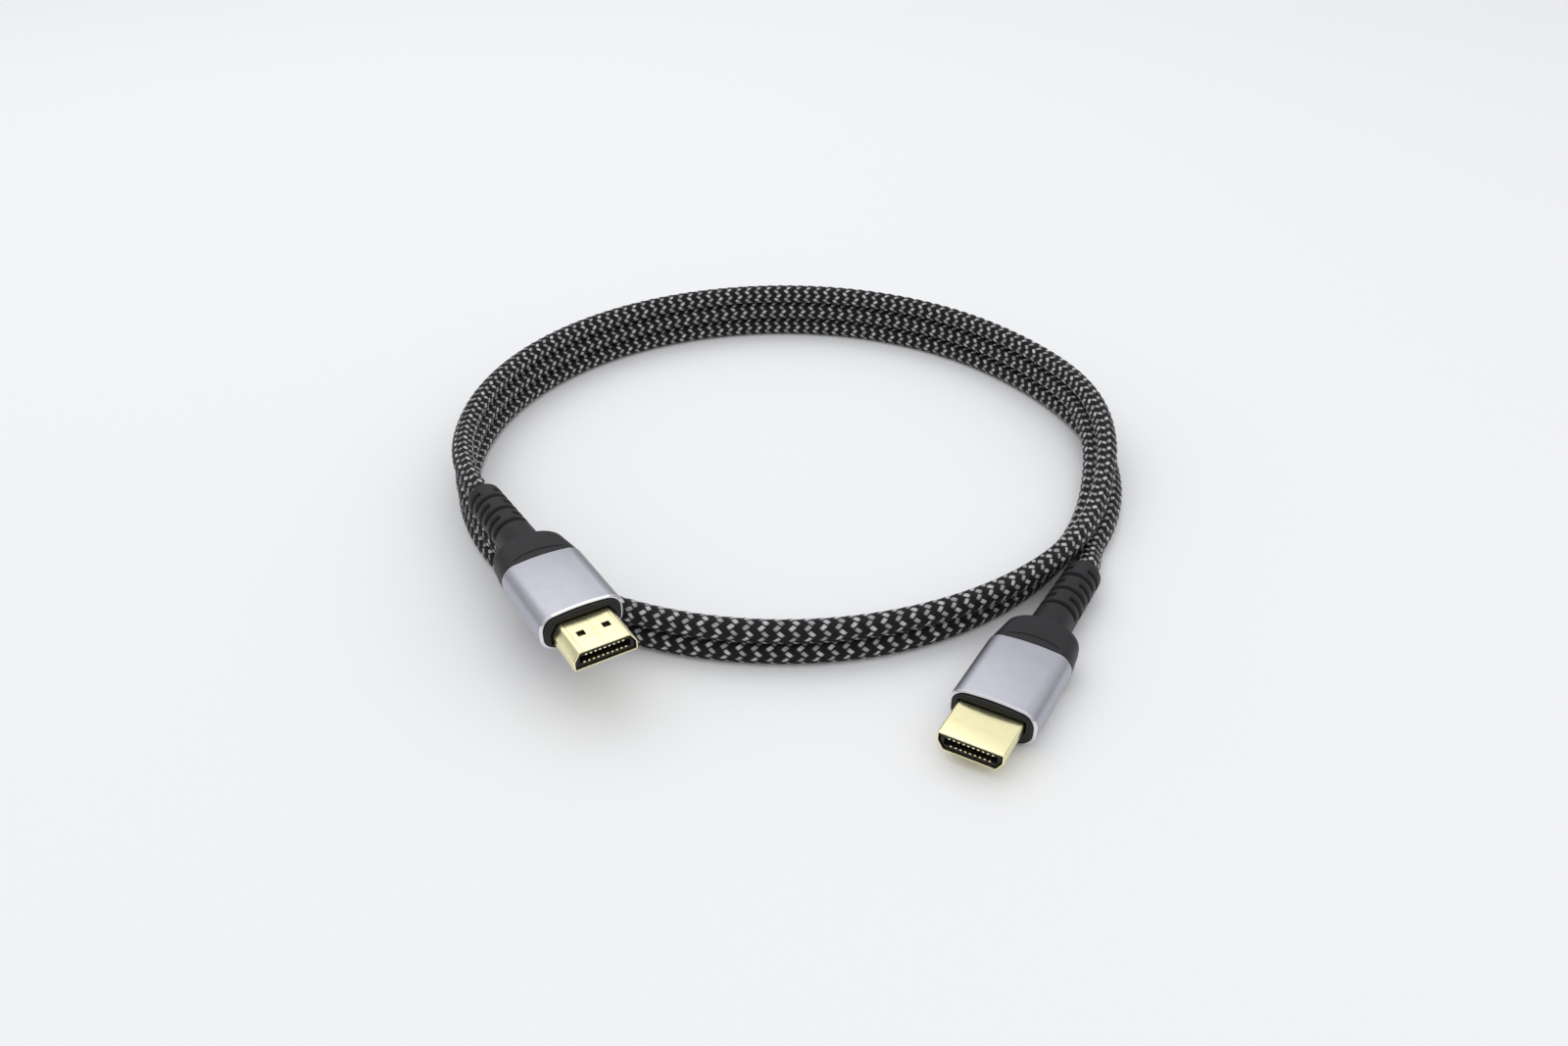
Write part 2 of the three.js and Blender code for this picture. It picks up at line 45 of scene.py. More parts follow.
# Where the coil's centre lies in the row frame
COIL_CENTRE = np.array([-1.434, 16.771, 0.0])

# Camera, from the coil's centre, for an image that is 1600 pixels wide
CAMERA_PLACE = np.array([0.0, -289.0, 172.3])
CAMERA_PITCH = 0.586
FOCAL_PIXELS = 1267.7
IMAGE_WIDTH = 1600
SENSOR_WIDTH = 36.0
CAMERA_CLIP = 0.005

# Strength of the surround, and the lights' powers in watts
SKY_HORIZON = 0.36
SKY_ZENITH = 1.16
KEY_POWER = 1.1
FILL_POWER = 0.35

# Cable and coil, as the solids have them
CABLE_DIAMETER = 5.4
CABLE_SIDES = 12
TURN_GAP = 0.22
SEAT_GAP = 0.3
COIL_RADIUS = 83.0
COIL_START = -30.0
COIL_END = 900.0
COIL_STEP = 2.5
PAIR_START = -80.0
CROSSING_START = -30.0
CROSSING_END = 26.0
SETTLE_START = -8.0
SETTLE_END = 40.0
FIRST_TURN_OUT = 3.1
DIAGONAL_EXTRA = 0.15
THIRD_TURN_LEAN = 30.0
LEAD_STRAIGHT = 2.0
RIGHT_LEAD = [(-36.0, 5.3, 1.3)]
LEFT_LEAD = [(191.0, 0.0, 0.7), (202.0, -0.2, 1.9)]
FLAT = CABLE_DIAMETER * math.cos(math.pi / CABLE_SIDES)
TURN_RISE = FLAT + TURN_GAP
FLOOR_LEVEL = FLAT / 2
SECOND_TURN_TOP = FLOOR_LEVEL + TURN_RISE + CABLE_DIAMETER / 2

# Braided sleeve: lozenges in rows round the cable, and their repeat along it
BRAID_REPEAT = 3.2
BRAID_ROWS = 12
RINGS_PER_REPEAT = 6
COLUMNS_PER_ROW = 3
BRAID_RELIEF = 0.3
BRAID_OUTSIDE = 2.69
PATH_SKIP = 10

# Connector, as the solids have it
SHELL_WIDTH = 13.9
SHELL_HEIGHT = 4.45
SHELL_SIDE_HEIGHT = 2.3
SHELL_NARROW_WIDTH = 11.2
SHELL_WALL = 0.4
SHELL_LENGTH = 10.4
SHELL_ROOT = 4.0
WINDOW_SIDE = 1.7
WINDOW_SPACING = 5.5
WINDOW_FROM_TIP = 5.4
SLEEVE_WIDTH = 18.6
SLEEVE_HEIGHT = 9.6
CORNER_SHARE = 0.385
SLEEVE_CROWN = 0.35
SLEEVE_WALL = 0.7
SLEEVE_LENGTH = 20.3
RIM_CHAMFER = 0.4
BEZEL_PROUD = 0.6
BEZEL_INSET = 0.55
BEZEL_CHAMFER = 0.25
BEZEL_SEAT = 1.2
CAP_LENGTH = 9.2
CAP_INSET = 0.15
CAP_SHOULDER_RADIUS = 2.6
CAP_REAR_WIDTH = 16.6
CAP_PLUG_DEPTH = 2.5
NECK_FILLET = 1.0
NECK_DIAMETER = 9.2
NECK_LENGTH = 7.2
RELIEF_END_DIAMETER = 8.3
RELIEF_LENGTH = 19.0
RELIEF_END_ROUND = 1.4
RIB_PITCH = 3.0
RIB_COUNT = 6
GROOVE_WIDTH = 1.0
GROOVE_DEPTH = 0.9
BRIDGE_WIDTH = 3.2
SIDE_BRIDGE_WIDTH = 1.6
SOCKET_DEPTH = 5.0
SOCKET_RADIUS = 2.9
MOUTH_RADIUS = 3.02
STEP_LINE_WIDTH = 0.35
STEP_LINE_DEPTH = 0.35
STEP_LINE_RADIUS = 16.0
STEP_LINE_FROM_SLEEVE = 2.4
STEP_LINE_SPAN = 12.0

# Stations along a connector, from the tip back
BEZEL_FRONT = -SHELL_LENGTH
SLEEVE_FRONT = BEZEL_FRONT - BEZEL_PROUD
SLEEVE_REAR = SLEEVE_FRONT - SLEEVE_LENGTH
CAP_FRONT = SLEEVE_REAR - SEAT_GAP
CAP_REAR = CAP_FRONT - CAP_LENGTH
NECK_REAR = CAP_REAR - NECK_LENGTH
RELIEF_END = NECK_REAR - RELIEF_LENGTH
SOCKET_BOTTOM = RELIEF_END + SOCKET_DEPTH
SHELL_REAR = BEZEL_FRONT - SHELL_ROOT


# Places of the connectors and of the cable's route
def on_coil(degrees, radius, height):
    """A point from the coil's centre: degrees round from +X, distance and height."""
    angle = math.radians(degrees)
    return np.array([radius * math.cos(angle), radius * math.sin(angle), height])


def plug_from(bearing, outward, heading, height, roll):
    """Where a level connector lies whose strain relief ends at a place by the coil."""
    turn = math.radians(heading)
    ahead = np.array([math.cos(turn), math.sin(turn), 0.0])
    tip = on_coil(bearing, COIL_RADIUS + outward, height) - RELIEF_END * ahead
    return {"tip": tip, "ahead": ahead, "heading": turn, "roll": roll}


PLUGS = {
    "right": plug_from(-39.9, 6.95, -120.1, SLEEVE_HEIGHT / 2, 0.0),
    "left": plug_from(
        210.98, -0.5, -57.8, SECOND_TURN_TOP + SEAT_GAP + SLEEVE_HEIGHT / 2, math.pi
    ),
}


def behind_tip(plug, distance):
    return plug["tip"] - distance * plug["ahead"]


def eased(value, start, end):
    t = min(max((value - start) / (end - start), 0.0), 1.0)
    return t * t * (3 - 2 * t)


def strand_on(strand, up_angle):
    """The place of a strand that touches another, at an angle up from the inward side."""
    turn = math.radians(up_angle)
    distance = TURN_RISE + DIAGONAL_EXTRA * abs(math.sin(2 * turn))
    radius, height = strand
    return radius - distance * math.cos(turn), height + distance * math.sin(turn)


def first_turn(bearing):
    out = FIRST_TURN_OUT * (1 - eased(bearing, SETTLE_START, SETTLE_END))
    return COIL_RADIUS + out, FLOOR_LEVEL


def second_turn(bearing):
    if bearing < CROSSING_START:
        inward = (TURN_RISE - FIRST_TURN_OUT) * eased(bearing, PAIR_START, CROSSING_START)
        return COIL_RADIUS - inward, FLOOR_LEVEL
    return strand_on(first_turn(bearing), 90 * eased(bearing, CROSSING_START, CROSSING_END))


def third_turn(bearing):
    lean = eased(bearing, PAIR_START, CROSSING_START) - eased(bearing, SETTLE_START, CROSSING_END)
    return strand_on(second_turn(bearing), 90 + THIRD_TURN_LEAN * lean)


def coil_station(degrees):
    begun = math.floor((degrees - PAIR_START) / 360)
    radius, height = (first_turn, second_turn, third_turn)[begun](degrees - 360 * begun)
    return on_coil(degrees, radius, height)


def cable_route():
    """Points from the right connector's socket to the left one's, from the coil's centre."""
    right, left = PLUGS["right"], PLUGS["left"]
    top_level = FLOOR_LEVEL + 2 * TURN_RISE
    points = [
        behind_tip(right, -SOCKET_BOTTOM + SEAT_GAP),
        behind_tip(right, -RELIEF_END + LEAD_STRAIGHT),
    ]
    for degrees, outward, rise in RIGHT_LEAD:
        points.append(on_coil(degrees, COIL_RADIUS + outward, FLOOR_LEVEL + rise))
    for degrees in np.arange(COIL_START, COIL_END + COIL_STEP / 2, COIL_STEP):
        points.append(coil_station(float(degrees)))
    for degrees, outward, rise in LEFT_LEAD:
        points.append(on_coil(degrees, COIL_RADIUS + outward, top_level + rise))
    points.append(behind_tip(left, -RELIEF_END + LEAD_STRAIGHT))
    points.append(behind_tip(left, -SOCKET_BOTTOM + SEAT_GAP))
    return np.array(points)


def smooth_curve(points, spacing):
    """Evenly spaced points on the natural cubic spline through points."""
    chord = np.linalg.norm(np.diff(points, axis=0), axis=1)
    knots = np.concatenate([[0.0], np.cumsum(chord)])
    count = len(points)
    system = np.zeros((count, count))
    target = np.zeros((count, 3))
    system[0, 0] = system[-1, -1] = 1.0
    for i in range(1, count - 1):
        before, after = chord[i - 1], chord[i]
        system[i, i - 1 : i + 2] = before, 2 * (before + after), after
        rise = (points[i + 1] - points[i]) / after
        target[i] = 6 * (rise - (points[i] - points[i - 1]) / before)
    second = np.linalg.solve(system, target)
    place = np.linspace(0, knots[-1], int(knots[-1] / (0.1 * spacing)))
    part = np.clip(np.searchsorted(knots, place, side="right") - 1, 0, count - 2)
    width = chord[part][:, None]
    to_end = (knots[part + 1] - place)[:, None]
    from_start = (place - knots[part])[:, None]
    fine = (second[part] * to_end**3 + second[part + 1] * from_start**3) / (6 * width)
    fine += (points[part] / width - second[part] * width / 6) * to_end
    fine += (points[part + 1] / width - second[part + 1] * width / 6) * from_start
    run = np.concatenate([[0.0], np.cumsum(np.linalg.norm(np.diff(fine, axis=0), axis=1))])
    even = np.linspace(0, run[-1], int(run[-1] / spacing) + 1)
    return np.stack([np.interp(even, run, fine[:, k]) for k in range(3)], 1), run[-1]


# Node materials
class Shader:
    """A material with a Principled shader, and short ways to add nodes to it."""

    def __init__(self, name, **sockets):
        self.material = bpy.data.materials.new(name)
        self.material.use_nodes = True
        self.nodes = self.material.node_tree.nodes
        self.links = self.material.node_tree.links
        self.shader = self.nodes["Principled BSDF"]
        for socket, value in sockets.items():
            self.shader.inputs[socket.replace("_", " ")].default_value = value

    def put(self, socket, value):
        if isinstance(value, bpy.types.NodeSocket):
            self.links.new(value, socket)
        else:
            socket.default_value = value

    def node(self, kind, inputs=(), **settings):
        node = self.nodes.new(kind)
        for name, value in settings.items():
            setattr(node, name, value)
        for name, value in dict(inputs).items():
            self.put(node.inputs[name], value)
        return node

    def math(self, operation, *values):
        node = self.nodes.new("ShaderNodeMath")
        node.operation = operation
        for socket, value in zip(node.inputs, values):
            self.put(socket, value)
        return node.outputs[0]

    def step(self, value, low, high):
        """0 below low, 1 above high, and smooth between them."""
        inputs = {"Value": value, "From Min": low, "From Max": high}
        return self.node("ShaderNodeMapRange", inputs, interpolation_type="SMOOTHSTEP").outputs[0]

    def spread(self, value, low, high):
        """A value from 0 to 1 spread from low to high."""
        return self.node("ShaderNodeMapRange", {"Value": value, "To Min": low, "To Max": high}).outputs[0]

    def object_place(self):
        return self.node("ShaderNodeTexCoord").outputs["Object"]

    def noise(self, scale, detail=2.0):
        """Noise with scale in features a metre."""
        inputs = {"Vector": self.object_place(), "Scale": scale, "Detail": detail, "Roughness": 0.6}
        return self.node("ShaderNodeTexNoise", inputs).outputs["Fac"]

    def mix(self, amount, first, second):
        node = self.nodes.new("ShaderNodeMix")
        node.data_type = "RGBA"
        self.put(node.inputs["Factor"], amount)
        for socket, value in (("A", first), ("B", second)):
            self.put([s for s in node.inputs if s.name == socket and s.type == "RGBA"][0], value)
        return [s for s in node.outputs if s.type == "RGBA"][0]

    def bump(self, height, distance, strength=1.0):
        inputs = {"Height": height, "Distance": distance, "Strength": strength}
        self.links.new(self.node("ShaderNodeBump", inputs).outputs[0], self.shader.inputs["Normal"])


def colour(red, green, blue):
    return (red, green, blue, 1.0)


def braid_material():
    """Right and left going bundles over and under each other, each with black and light threads."""
    s = Shader("braided_sleeve", Specular_IOR_Level=0.2)
    uv = s.node("ShaderNodeUVMap", uv_map="braid").outputs[0]
    along_across = s.node("ShaderNodeSeparateXYZ", {"Vector": uv})
    repeat, half_row = along_across.outputs[0], s.math("MULTIPLY", along_across.outputs[1], 0.5)
    right, left = s.math("ADD", repeat, half_row), s.math("SUBTRACT", repeat, half_row)
    right_cell, left_cell = s.math("ROUND", right), s.math("ROUND", left)
    in_right, in_left = s.math("SUBTRACT", right, right_cell), s.math("SUBTRACT", left, left_cell)
    left_over = s.math("FLOORED_MODULO", s.math("ADD", right_cell, left_cell), 2.0)
    gap = s.math("MULTIPLY", s.math("SUBTRACT", in_left, in_right), left_over)
    across, along = s.math("ADD", in_right, gap), s.math("SUBTRACT", in_left, gap)
    mirrored = s.math("MULTIPLY", s.math("ADD", in_right, in_left), left_over)
    side = s.math("SUBTRACT", in_right, mirrored)
    end = s.math("ABSOLUTE", along)
    light = s.math("MULTIPLY", s.step(side, 0.02, 0.1), s.math("SUBTRACT", 1.0, s.step(side, 0.42, 0.5)))
    light = s.math("MULTIPLY", light, s.math("SUBTRACT", 1.0, s.step(end, 0.17, 0.44)))
    threads = s.math("COSINE", s.math("MULTIPLY", across, 2 * math.pi * 7))
    # Painted shade: the light threads are darkened in the gaps between neighbouring threads
    painted_thread_gap_shade = s.spread(threads, 0.72, 1.0)
    light = s.math("MULTIPLY", light, painted_thread_gap_shade)
    dimmer = s.math("FLOORED_MODULO", right_cell, 2.0)
    light = s.math("MULTIPLY", light, s.spread(dimmer, 1.0, 0.66))
    light = s.math("MULTIPLY", light, s.spread(s.noise(900.0), 0.55, 1.15))
    dark = s.mix(s.noise(500.0), colour(0.003, 0.003, 0.0035), colour(0.010, 0.010, 0.011))
    s.put(s.shader.inputs["Base Color"], s.mix(light, dark, colour(0.80, 0.80, 0.81)))
    s.put(s.shader.inputs["Roughness"], s.spread(s.noise(1500.0), 0.38, 0.6))
    s.bump(s.math("ADD", threads, s.math("MULTIPLY", s.noise(4000.0), 1.2)), 0.00004, 0.8)
    return s.material


def gold_material():
    s = Shader("gold_plating", Metallic=1.0)
    streaks = s.noise(700.0, 4.0)
    s.put(s.shader.inputs["Base Color"], s.mix(streaks, colour(0.93, 0.84, 0.47), colour(0.98, 0.93, 0.60)))
    s.put(s.shader.inputs["Roughness"], s.spread(s.noise(2500.0, 3.0), 0.16, 0.32))
    s.bump(s.noise(9000.0), 0.00001, 0.25)
    return s.material


def aluminium_material():
    s = Shader("anodised_aluminium", Metallic=1.0)
    cloud = s.noise(350.0, 3.0)
    s.put(s.shader.inputs["Base Color"], s.mix(cloud, colour(0.42, 0.42, 0.465), colour(0.49, 0.49, 0.535)))
    s.put(s.shader.inputs["Roughness"], s.spread(s.noise(5000.0, 3.0), 0.30, 0.44))
    s.bump(s.noise(14000.0, 3.0), 0.00002, 0.35)
    return s.material


def bright_aluminium_material():
    s = Shader("bright_cut_rim", Metallic=1.0)
    shade = s.mix(s.noise(900.0), colour(0.74, 0.74, 0.76), colour(0.82, 0.82, 0.84))
    s.put(s.shader.inputs["Base Color"], shade)
    s.put(s.shader.inputs["Roughness"], s.spread(s.noise(6000.0), 0.10, 0.22))
    return s.material


def moulding_material(name, low, high):
    s = Shader(name, Specular_IOR_Level=0.32)
    s.put(s.shader.inputs["Base Color"], s.mix(s.noise(260.0, 4.0), colour(*low), colour(*high)))
    s.put(s.shader.inputs["Roughness"], s.spread(s.noise(1800.0, 3.0), 0.42, 0.6))
    s.bump(s.noise(7000.0, 3.0), 0.00004, 0.5)
    return s.material


BRAID = braid_material()
GOLD = gold_material()
ALUMINIUM = aluminium_material()
RIM = bright_aluminium_material()
MOULDING = moulding_material("black_moulding", (0.009, 0.009, 0.010), (0.016, 0.016, 0.018))
INSULATOR = moulding_material("black_insulator", (0.008, 0.008, 0.008), (0.014, 0.014, 0.015))


# Meshes
def new_object(name, mesh, materials, sharp_angle=None):
    thing = bpy.data.objects.new(name, mesh)
    bpy.context.scene.collection.objects.link(thing)
    for material in materials:
        mesh.materials.append(material)
    mesh.polygons.foreach_set("use_smooth", [True] * len(mesh.polygons))
    if sharp_angle is not None:
        mesh.set_sharp_from_angle(angle=math.radians(sharp_angle))
    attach(thing, "root")
    return thing


class Skin:
    """A mesh in a connector's own frame, in millimetres: rings of points and the faces between them."""

    def __init__(self, plug):
        self.bm = bmesh.new()
        turn = Matrix.Rotation(plug["heading"], 4, "Z") @ Matrix.Rotation(plug["roll"], 4, "X")
        place = Matrix.Translation(Vector((plug["tip"] + COIL_CENTRE) * MM))
        self.matrix = place @ turn @ Matrix.Scale(MM, 4)

    def ring(self, points):
        return [self.bm.verts.new(self.matrix @ Vector(p)) for p in points]

    def band(self, first, second, material=0, skip=()):
        """Faces between two rings, but for the columns in skip."""
        count = len(first)
        for k in range(count):
            if k not in skip:
                after = (k + 1) % count
                face = self.bm.faces.new((first[k], first[after], second[after], second[k]))
                face.material_index = material

    def loft(self, rings, materials=None):
        for k in range(len(rings) - 1):
            self.band(rings[k], rings[k + 1], materials[k] if materials else 0)

    def cap(self, ring):
        self.bm.faces.new(ring)

    def finish(self, name, materials, sharp_angle, node):
        bmesh.ops.recalc_face_normals(self.bm, faces=self.bm.faces)
        mesh = bpy.data.meshes.new(name)
        self.bm.to_mesh(mesh)
        self.bm.free()
        thing = new_object(name, mesh, materials, sharp_angle)
        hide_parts(node)
        return thing


def arc(centre, radius, start, end, count):
    turns = np.radians(np.linspace(start, end, count))
    return np.stack([centre[0] + radius * np.cos(turns), centre[1] + radius * np.sin(turns)], 1)


def bowed(start, middle, end, count):
    """A quadratic curve from start to end without its end points."""
    t = np.linspace(0, 1, count + 2)[1:-1, None]
    return (1 - t) ** 2 * np.array(start) + 2 * t * (1 - t) * np.array(middle) + t**2 * np.array(end)


def rounded_outline(width, height, corner, crown):
    """A rounded rectangle with crowned flat faces, counter-clockwise from the right side."""
    half, shoulder = width / 2, height / 2 - crown
    side, top = half - corner, shoulder - corner
    upper = bowed((side, shoulder), (0, shoulder + 2 * crown), (-side, shoulder), 24)
    lower = bowed((-side, -shoulder), (0, -shoulder - 2 * crown), (side, -shoulder), 24)
    return np.concatenate([
        arc((side, top), corner, 0, 90, 13), upper,
        arc((-side, top), corner, 90, 180, 13),
        arc((-side, -top), corner, 180, 270, 13), lower,
        arc((side, -top), corner, 270, 360, 13),
    ])


def sleeve_outline(inset):
    corner = CORNER_SHARE * SLEEVE_HEIGHT - inset
    return rounded_outline(SLEEVE_WIDTH - 2 * inset, SLEEVE_HEIGHT - 2 * inset, corner, SLEEVE_CROWN)


def at_station(x, outline):
    return [(x, float(y), float(z)) for y, z in outline]


def polar(outline, angles):
    """An outline's points at the given angles round its centre."""
    closed = np.concatenate([outline, outline[:1]])
    fine = np.concatenate([
        a + (b - a) * np.linspace(0, 1, 24, endpoint=False)[:, None] for a, b in zip(closed, closed[1:])
    ])
    turn = np.mod(np.arctan2(fine[:, 1], fine[:, 0]), 2 * math.pi)
    order = np.argsort(turn)
    reach = np.interp(angles, turn[order], np.hypot(*fine.T)[order], period=2 * math.pi)
    return np.stack([reach * np.cos(angles), reach * np.sin(angles)], 1)


def shell_corners(inset):
    """The six corners of the D-shaped shell, wide face up, taken in by an inset."""
    half, top = SHELL_WIDTH / 2 - inset, SHELL_HEIGHT / 2 - inset
    run = (SHELL_WIDTH - SHELL_NARROW_WIDTH) / 2
    rise = SHELL_HEIGHT - SHELL_SIDE_HEIGHT
    slope = math.hypot(run, rise)
    knee = -SHELL_HEIGHT / 2 + rise + inset * (slope - rise) / run
    foot = SHELL_NARROW_WIDTH / 2 - inset * (slope - run) / rise
    return np.array([
        (half, top), (-half, top), (-half, knee), (-foot, -top), (foot, -top), (half, knee),
    ])


def filleted(corners, radii, steps=6):
    """The corners rounded with arcs. Returns one array of points for each corner."""
    arcs = []
    count = len(corners)
    for k in range(count):
        here = corners[k]
        back = corners[k - 1] - here
        ahead = corners[(k + 1) % count] - here
        back, ahead = back / np.linalg.norm(back), ahead / np.linalg.norm(ahead)
        half_angle = math.acos(float(np.clip(back @ ahead, -1, 1))) / 2
        middle = (back + ahead) / np.linalg.norm(back + ahead)
        centre = here + middle * radii[k] / math.sin(half_angle)
        start = here + back * radii[k] / math.tan(half_angle) - centre
        end = here + ahead * radii[k] / math.tan(half_angle) - centre
        sweep = math.pi - 2 * half_angle
        turns = np.linspace(0, 1, steps)[:, None]
        weights = np.sin((1 - turns) * sweep), np.sin(turns * sweep)
        arcs.append(centre + (start * weights[0] + end * weights[1]) / math.sin(sweep))
    return arcs


# Cable
def braided_cable():
    centres, length = smooth_curve(cable_route(), BRAID_REPEAT / RINGS_PER_REPEAT)
    columns = BRAID_ROWS * COLUMNS_PER_ROW
    ahead = np.gradient(centres, axis=0)
    ahead /= np.linalg.norm(ahead, axis=1)[:, None]
    side = np.cross([0.0, 0.0, 1.0], ahead)
    side /= np.linalg.norm(side, axis=1)[:, None]
    up = np.cross(ahead, side)
    u = (np.arange(len(centres)) / RINGS_PER_REPEAT)[:, None]
    v = (np.arange(columns) / COLUMNS_PER_ROW)[None, :]
    right, left = u + v / 2, u - v / 2
    in_right, in_left = right - np.round(right), left - np.round(left)
    left_over = np.mod(np.round(right) + np.round(left), 2)
    across = np.where(left_over > 0, in_left, in_right)
    along = np.where(left_over > 0, in_right, in_left)
    height = np.sqrt(np.cos(math.pi * across).clip(0)) * (0.35 + 0.65 * np.cos(math.pi * along))
    reach = (BRAID_OUTSIDE - BRAID_RELIEF * (1 - height))[:, :, None]
    turn = (2 * math.pi * np.arange(columns) / columns)[None, :, None]
    skin = centres[:, None] + reach * (np.cos(turn) * side[:, None] + np.sin(turn) * up[:, None])
    skin = (skin + COIL_CENTRE) * MM
    ring, column = np.meshgrid(np.arange(len(centres) - 1), np.arange(columns), indexing="ij")
    after = (column + 1) % columns
    corners = np.stack([
        ring * columns + column, ring * columns + after,
        (ring + 1) * columns + after, (ring + 1) * columns + column,
    ], -1).reshape(-1, 4)
    last = (len(centres) - 1) * columns
    faces = corners.tolist()
    faces.append(list(range(columns)))
    faces.append(list(range(last + columns - 1, last - 1, -1)))
    mesh = bpy.data.meshes.new("braided_cable_skin")
    mesh.from_pydata(skin.reshape(-1, 3).tolist(), [], faces)
    layer = mesh.uv_layers.new(name="braid")
    places = np.stack([
        np.stack([ring, ring, ring + 1, ring + 1], -1) / RINGS_PER_REPEAT,
        np.stack([column, column + 1, column + 1, column], -1) / COLUMNS_PER_ROW,
    ], -1).reshape(-1)
    places = np.concatenate([places, np.zeros(4 * columns)])
    layer.uv.foreach_set("vector", places.astype(np.float32))
    cable = new_object("braided_sleeve", mesh, [BRAID])
    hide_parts("braided_cable")
    path = ((centres + COIL_CENTRE) * MM)[::PATH_SKIP].tolist()
    path.append(((centres[-1] + COIL_CENTRE) * MM).tolist())
    return cable, path, length * MM


# Connector pieces
def aluminium_sleeve(side):
    skin = Skin(PLUGS[side])
    soft = 0.05
    profile = [
        (SLEEVE_REAR, SLEEVE_WALL, 0), (SLEEVE_REAR, 0.14, 0), (SLEEVE_REAR + soft, soft, 0),
        (SLEEVE_REAR + 0.14, 0, 0), (SLEEVE_FRONT - RIM_CHAMFER - soft, 0, 0),
        (SLEEVE_FRONT - RIM_CHAMFER + soft / 2, soft / 2, 1),
        (SLEEVE_FRONT - soft, RIM_CHAMFER - soft, 1), (SLEEVE_FRONT, RIM_CHAMFER + soft, 1),
        (SLEEVE_FRONT, SLEEVE_WALL - soft, 1), (SLEEVE_FRONT - soft, SLEEVE_WALL, 0),
    ]
    rings = [skin.ring(at_station(x, sleeve_outline(inset))) for x, inset, _ in profile]
    skin.loft(rings + rings[:1], [material for _, _, material in profile])
    looks = [ALUMINIUM, RIM]
    return skin.finish(f"{side}_sleeve", looks, 25, f"{side}_aluminium_sleeve")


def inner_moulding(side):
    skin = Skin(PLUGS[side])
    seat = np.concatenate(filleted(shell_corners(-SEAT_GAP), [0.5, 0.5, 0.8, 0.8, 0.8, 0.8]))
    angles = np.sort(np.concatenate([
        np.linspace(0, 2 * math.pi, 96, endpoint=False),
        np.mod(np.arctan2(seat[:, 1], seat[:, 0]), 2 * math.pi),
    ]))
    angles = angles[np.concatenate([[True], np.diff(angles) > 0.002])]
    core, bezel = SLEEVE_WALL + SEAT_GAP, BEZEL_INSET + SEAT_GAP
    core_rear = CAP_FRONT + CAP_PLUG_DEPTH + SEAT_GAP
    seat_rear = SHELL_REAR - SEAT_GAP
    outside = [
        (core_rear, core), (SLEEVE_FRONT - BEZEL_SEAT, core), (SLEEVE_FRONT - BEZEL_SEAT, bezel),
        (BEZEL_FRONT - BEZEL_CHAMFER, bezel), (BEZEL_FRONT - 0.12, bezel + 0.05),
        (BEZEL_FRONT - 0.04, bezel + 0.13), (BEZEL_FRONT, bezel + BEZEL_CHAMFER),
    ]
    rings = [skin.ring(at_station(x, polar(sleeve_outline(inset), angles))) for x, inset in outside]
    hole = polar(seat, angles)
    rings += [skin.ring(at_station(x, hole)) for x in (BEZEL_FRONT, seat_rear)]
    skin.loft(rings)
    skin.cap(rings[0])
    skin.cap(rings[-1])
    return skin.finish(f"{side}_moulding", [MOULDING], 35, f"{side}_inner_moulding")


def shell_outline(inset, seam_depth=0.0):
    """The shell's rounded outline, with the windows' edges and the seam among its points."""
    radii = np.array([0.55, 0.55, 1.0, 0.9, 0.9, 1.0]) - min(inset, SHELL_WALL)
    arcs = filleted(shell_corners(inset), radii)
    narrow = -SHELL_HEIGHT / 2 + inset
    inner, outer = (WINDOW_SPACING - WINDOW_SIDE) / 2, (WINDOW_SPACING + WINDOW_SIDE) / 2
    places = [-4.9, -4.8, -4.7, -outer, -inner, -0.07, 0.0, 0.07, inner, outer, 4.7, 4.8, 4.9]
    depths = [0, 0.10, 0, 0, 0, 0, 0.09, 0, 0, 0, 0, 0.10, 0]
    floor = [(y, narrow + (depth if seam_depth else 0)) for y, depth in zip(places, depths)]
    points = arcs[:4] + [np.array(floor)] + arcs[4:]
    first_floor = sum(len(a) for a in arcs[:4])
    windows = (first_floor + places.index(-outer), first_floor + places.index(inner))
    return np.concatenate(points), windows


def plug_shell(side):
    skin = Skin(PLUGS[side])
    window_rear = -WINDOW_FROM_TIP - WINDOW_SIDE / 2
    window_front = window_rear + WINDOW_SIDE
    outside = [(SHELL_REAR, 0), (BEZEL_FRONT, 0), (window_rear, 0), (window_front, 0),
               (-0.6, 0), (-0.14, 0.05), (-0.03, 0.11), (0, 0.17)]
    inside = [(0, 0.29), (-0.03, 0.34), (-0.14, 0.38), (-0.6, SHELL_WALL),
              (window_front, SHELL_WALL), (window_rear, SHELL_WALL), (SHELL_REAR, SHELL_WALL)]
    windows = shell_outline(0)[1]
    outer = [skin.ring(at_station(x, shell_outline(inset, 1)[0])) for x, inset in outside]
    inner = [skin.ring(at_station(x, shell_outline(inset)[0])) for x, inset in inside]
    rings = outer + inner + outer[:1]
    openings = (outside.index((window_rear, 0)), len(outer) + inside.index((window_front, SHELL_WALL)))
    for k in range(len(rings) - 1):
        skin.band(rings[k], rings[k + 1], 0, windows if k in openings else ())
    for column in windows:
        rims = [
            [ring[column], ring[column + 1]]
            for ring in (outer[2], outer[3], inner[4], inner[5])
        ]
        for k in range(4):
            if k % 2:
                skin.bm.faces.new((*rims[k], *reversed(rims[(k + 1) % 4])))
        for edge in (0, 1):
            skin.bm.faces.new([rim[edge] for rim in rims])
    return skin.finish(f"{side}_shell", [GOLD], 35, f"{side}_plug_shell")


def relief_radius(x):
    along = (CAP_REAR - x) / (CAP_REAR - RELIEF_END)
    return (NECK_DIAMETER + (RELIEF_END_DIAMETER - NECK_DIAMETER) * along) / 2


